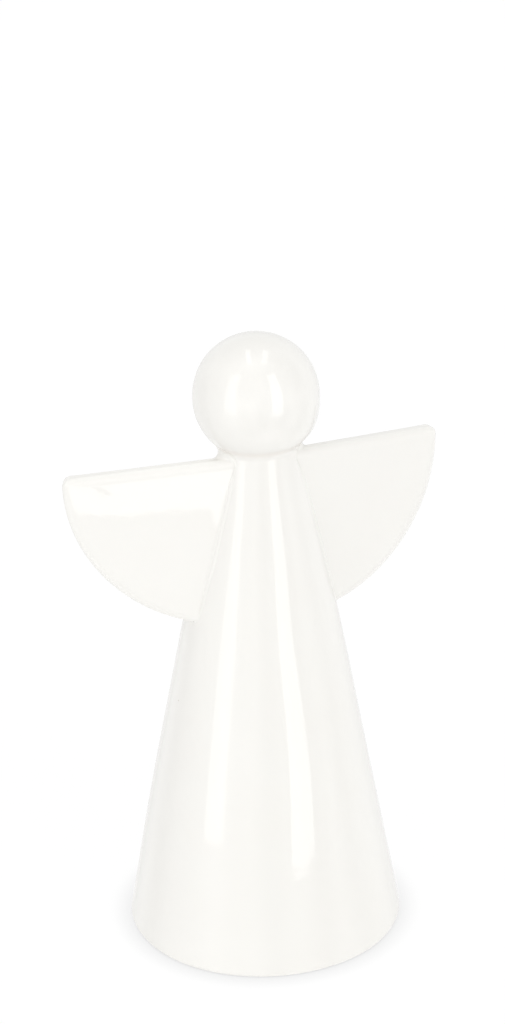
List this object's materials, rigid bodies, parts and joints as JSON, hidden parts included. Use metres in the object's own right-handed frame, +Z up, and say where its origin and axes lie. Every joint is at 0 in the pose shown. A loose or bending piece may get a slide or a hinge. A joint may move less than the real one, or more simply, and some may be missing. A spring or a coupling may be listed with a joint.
{
  "type": "angel figurine",
  "caption": "Plain standing angel of white glazed porcelain with a ball head, a cone robe and two flat wings, for a shelf or table as a seasonal decoration.",
  "frame": {"origin": "middle of the foot ring, on the surface that the figure stands on", "axes": "+Z up through the head, -Y to the front that the wings sweep back from, +X to the wing on the right as seen from the front"},
  "size_m": [0.1064, 0.0762, 0.18],
  "materials": {
    "robe_glaze": "glossy clear glaze over white porcelain, the flat foot ring left bare",
    "head_glaze": "glossy clear glaze over white porcelain",
    "wing_glaze": "glossy clear glaze over white porcelain",
    "slip_glaze": "glossy clear glaze pooled a little in the crease"
  },
  "bodies": {
    "root": {"robe": "robe_glaze", "head": "head_glaze", "neck_slip_joint": "slip_glaze", "right_wing": "wing_glaze", "left_wing": "wing_glaze", "right_wing_slip_joint": "slip_glaze", "left_wing_slip_joint": "slip_glaze"}
  },
  "joints": []
}
